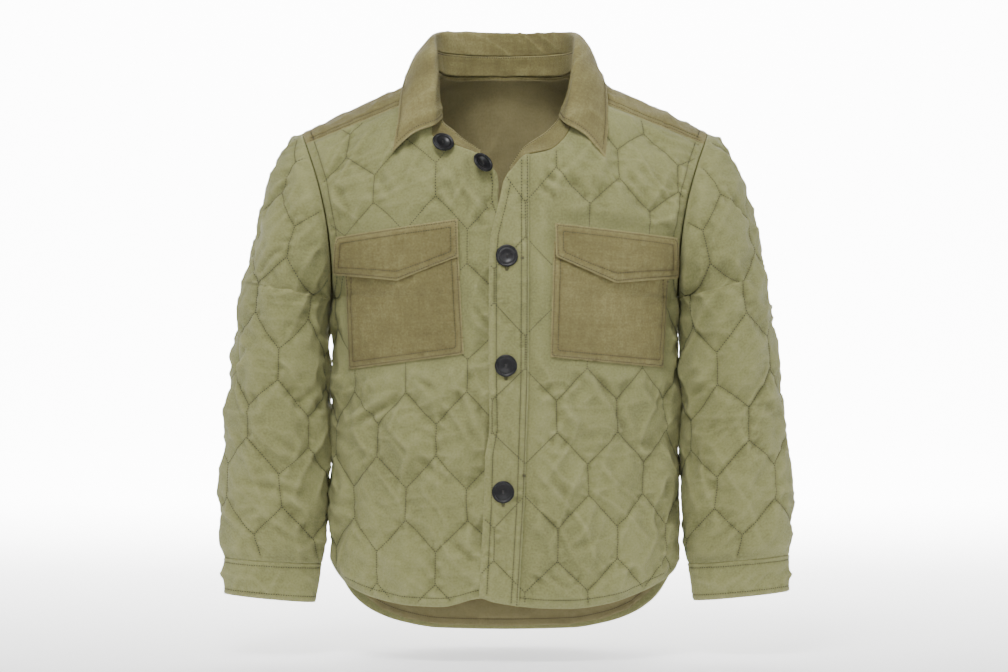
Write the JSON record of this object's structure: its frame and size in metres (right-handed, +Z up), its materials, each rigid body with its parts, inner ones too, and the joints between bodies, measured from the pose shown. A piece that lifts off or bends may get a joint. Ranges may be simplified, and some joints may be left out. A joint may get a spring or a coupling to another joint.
{
  "type": "quilted jacket",
  "caption": "Quilted shirt jacket as worn, hollow, with plain collar, yoke, flap pockets, sleeves with cuffs, a buttoned front and a longer curved tail.",
  "frame": {"origin": "the middle of the neck's base, level with the high points of the shoulders, where the wearer holds the jacket up", "axes": "+Z up, along the body; +X towards the wearer's left; -Y to the front"},
  "size_m": [0.6547, 0.2415, 0.7033],
  "materials": {
    "quilt": "sage olive shell cloth, quilted in large onion cells, soft sheen",
    "twill": "brown olive washed cotton twill, matt",
    "lining": "dark olive plain lining, matt",
    "button": "black, half gloss, with a sunk middle"
  },
  "bodies": {
    "root": {"front_right": "quilt", "front_left": "quilt", "back": "quilt", "sleeve_right": "quilt", "sleeve_left": "quilt", "cuff_right": "quilt", "cuff_left": "quilt", "placket": "quilt", "yoke": "twill", "collar_stand": "twill", "collar_leaf": "twill", "pocket_right": "twill", "pocket_left": "twill", "flap_right": "twill", "flap_left": "twill", "lining": "lining", "button_1": "button", "button_2": "button", "button_3": "button", "button_4": "button", "button_5": "button"}
  },
  "joints": []
}
